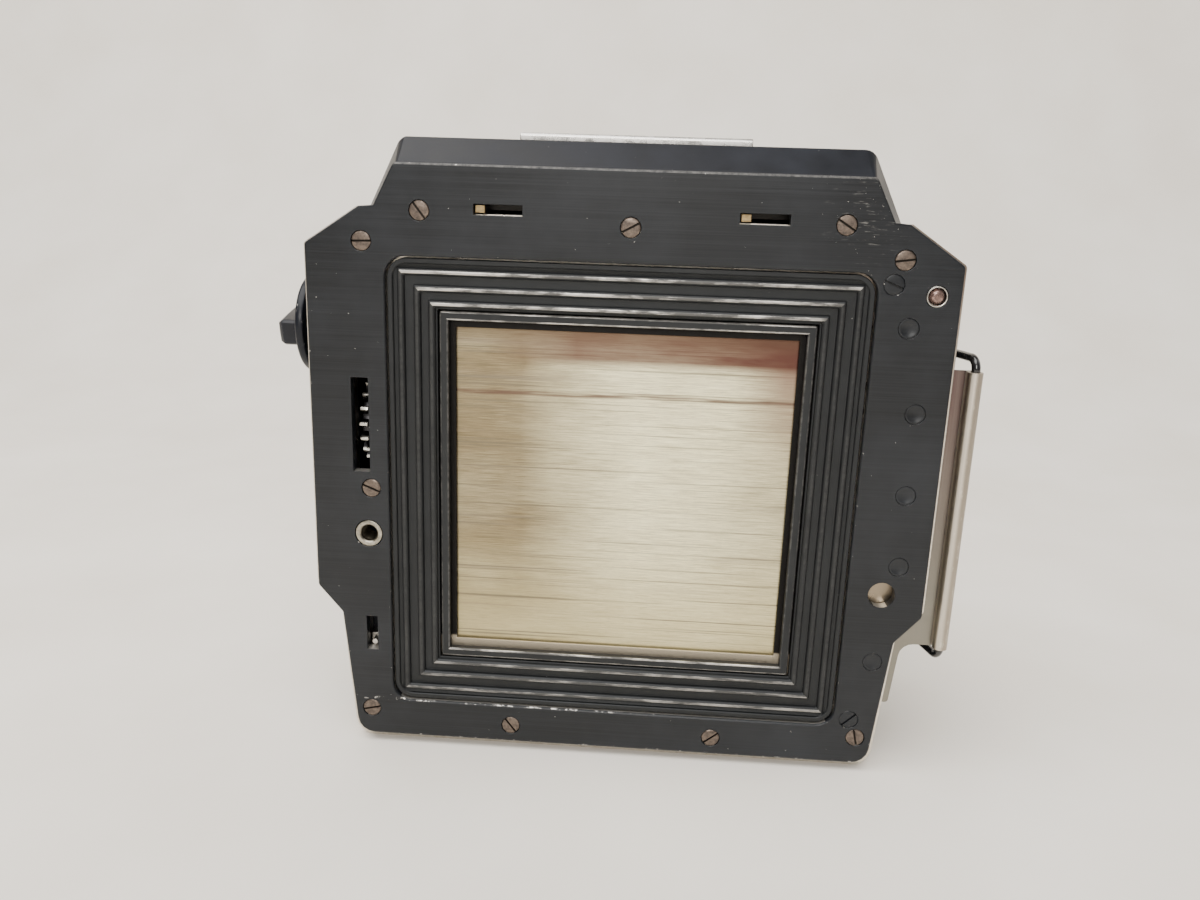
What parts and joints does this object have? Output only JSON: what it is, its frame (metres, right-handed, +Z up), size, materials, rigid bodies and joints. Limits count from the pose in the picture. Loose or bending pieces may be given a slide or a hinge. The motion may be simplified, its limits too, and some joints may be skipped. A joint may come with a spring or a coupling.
{
  "type": "roll-film magazine with dark slide",
  "caption": "Roll-film magazine for a medium-format camera, mating face forward, with a pull-out dark slide, winding knob and film spools inside.",
  "frame": {"origin": "middle of the mounting flange's bottom edge, which the magazine stands on", "axes": "+X to the right as seen from the camera side, the way the dark slide pulls out; +Y from the mating face back towards the film door; +Z up"},
  "size_m": [0.1185, 0.0409, 0.1052],
  "materials": {
    "plate_black": "black paint over a finely brushed plate, small chips",
    "matte_black": "flat anti-reflection black, worn bright on the crests",
    "dark_bronze": "darkened metal, dull",
    "satin_slide": "warm satin steel brushed across its length",
    "bright_rim": "bright machined light alloy",
    "gloss_black": "gloss black enamel on wire",
    "tarnished_steel": "brown tarnished steel",
    "steel": "machined steel",
    "copper_steel": "polished steel with a coppery tarnish",
    "case_black": "satin black stove enamel",
    "knob_black": "satin black, bare at the edges",
    "chrome": "satin to bright chrome",
    "brass": "dull brass",
    "spool_plastic": "matte black moulded plastic",
    "dial_plastic": "black disc with white numbers",
    "felt": "black light-trap plush",
    "leatherette": "black fine-grained leathercloth",
    "clear_window": "clear window"
  },
  "bodies": {
    "magazine_body": {"front_plate": "plate_black", "light_baffle": "matte_black", "aperture_frame": "matte_black", "gate_lip": "dark_bronze", "mount_flange": "bright_rim", "plate_screw_1": "tarnished_steel", "plate_screw_2": "tarnished_steel", "plate_screw_3": "tarnished_steel", "plate_screw_4": "tarnished_steel", "plate_screw_5": "tarnished_steel", "plate_screw_6": "tarnished_steel", "plate_screw_7": "tarnished_steel", "plate_screw_8": "tarnished_steel", "plate_screw_9": "tarnished_steel", "plate_screw_10": "tarnished_steel", "painted_screw_1": "plate_black", "painted_screw_2": "plate_black", "painted_screw_3": "plate_black", "painted_screw_4": "plate_black", "painted_screw_5": "plate_black", "painted_screw_6": "plate_black", "painted_screw_7": "plate_black", "threaded_bush": "steel", "pin_bush": "steel", "light_trap_felt": "felt", "housing": "case_black", "top_cover": "case_black", "side_leatherette": "leatherette", "hinge_pin": "steel", "side_cover": "case_black", "winding_collar": "case_black", "counter_window": "clear_window", "film_insert_frame": "steel", "film_gate": "matte_black", "pressure_spring_left": "steel", "pressure_spring_right": "steel", "supply_pivot": "steel"},
    "slide": {"dark_slide": "satin_slide"},
    "bail": {"slide_bail": "gloss_black"},
    "winder": {"winding_knob": "knob_black", "knob_grip": "knob_black", "winding_shaft": "steel", "winding_gear": "brass", "take_up_spool": "spool_plastic"},
    "drive": {"drive_gear": "steel"},
    "counter": {"counter_dial": "dial_plastic"},
    "supply": {"supply_spool": "spool_plastic"},
    "upper_roller": {"film_roller_upper": "steel"},
    "lower_roller": {"film_roller_lower": "steel"},
    "catch_bar": {"latch_bar": "brass"},
    "door_catch": {"door_latch": "chrome"},
    "interlock": {"interlock_pin": "copper_steel"},
    "counter_reset": {"counter_reset_pin": "steel"},
    "film_pressure": {"pressure_plate": "matte_black"},
    "upper_pull": {"spool_pull_upper": "chrome"},
    "lower_pull": {"spool_pull_lower": "chrome"},
    "door": {"rear_door": "case_black", "door_keeper": "steel", "door_leatherette": "leatherette"}
  },
  "joints": [
    {"name": "slide_pull", "type": "slide", "parent": "magazine_body", "child": "slide", "axis": [1, 0, 0], "range_m": [0, 0.086]},
    {"name": "bail_fold", "type": "hinge", "parent": "slide", "child": "bail", "pos_m": [0.0554, -0.00085, 0.0469], "axis": [0, 0, -1], "range_deg": [0, 120]},
    {"name": "winding_turn", "type": "hinge", "parent": "magazine_body", "child": "winder", "pos_m": [0, 0.0172, 0.0717], "axis": [1, 0, 0], "continuous": true},
    {"name": "drive_turn", "type": "hinge", "parent": "magazine_body", "child": "drive", "pos_m": [-0.0425, 0.00449, 0.05758], "axis": [1, 0, 0], "continuous": true},
    {"name": "counter_turn", "type": "hinge", "parent": "magazine_body", "child": "counter", "pos_m": [-0.0465, 0.0135, 0.0424], "axis": [1, 0, 0], "continuous": true},
    {"name": "supply_turn", "type": "hinge", "parent": "magazine_body", "child": "supply", "pos_m": [0, 0.0172, 0.0221], "axis": [1, 0, 0], "continuous": true},
    {"name": "upper_roller_turn", "type": "hinge", "parent": "magazine_body", "child": "upper_roller", "pos_m": [0, 0.0044, 0.0803], "axis": [1, 0, 0], "continuous": true},
    {"name": "lower_roller_turn", "type": "hinge", "parent": "magazine_body", "child": "lower_roller", "pos_m": [0, 0.0044, 0.0135], "axis": [1, 0, 0], "continuous": true},
    {"name": "catch_travel", "type": "slide", "parent": "magazine_body", "child": "catch_bar", "axis": [1, 0, 0], "range_m": [0, 0.004], "stiffness_N_per_m": 300},
    {"name": "door_catch_travel", "type": "slide", "parent": "magazine_body", "child": "door_catch", "axis": [1, 0, 0], "range_m": [0, 0.005], "stiffness_N_per_m": 300},
    {"name": "interlock_travel", "type": "slide", "parent": "magazine_body", "child": "interlock", "axis": [0, 1, 0], "range_m": [0, 0.0009], "stiffness_N_per_m": 300},
    {"name": "counter_reset_travel", "type": "slide", "parent": "magazine_body", "child": "counter_reset", "axis": [0, 0, 1], "range_m": [0, 0.0043], "stiffness_N_per_m": 100},
    {"name": "film_pressure_travel", "type": "slide", "parent": "magazine_body", "child": "film_pressure", "axis": [0, 1, 0], "range_m": [0, 0.0008], "stiffness_N_per_m": 300},
    {"name": "upper_pull_travel", "type": "slide", "parent": "magazine_body", "child": "upper_pull", "axis": [1, 0, 0], "range_m": [0, 0.005], "stiffness_N_per_m": 300},
    {"name": "lower_pull_travel", "type": "slide", "parent": "magazine_body", "child": "lower_pull", "axis": [1, 0, 0], "range_m": [0, 0.005], "stiffness_N_per_m": 300},
    {"name": "door_swing", "type": "hinge", "parent": "magazine_body", "child": "door", "pos_m": [0, 0.0226, 0.0015], "axis": [-1, 0, 0], "range_deg": [0, 110]}
  ],
  "couplings": [
    {"joint": "drive_turn", "follows": "winding_turn", "ratio": -1.7778},
    {"joint": "counter_turn", "follows": "winding_turn", "ratio": -0.083333}
  ]
}
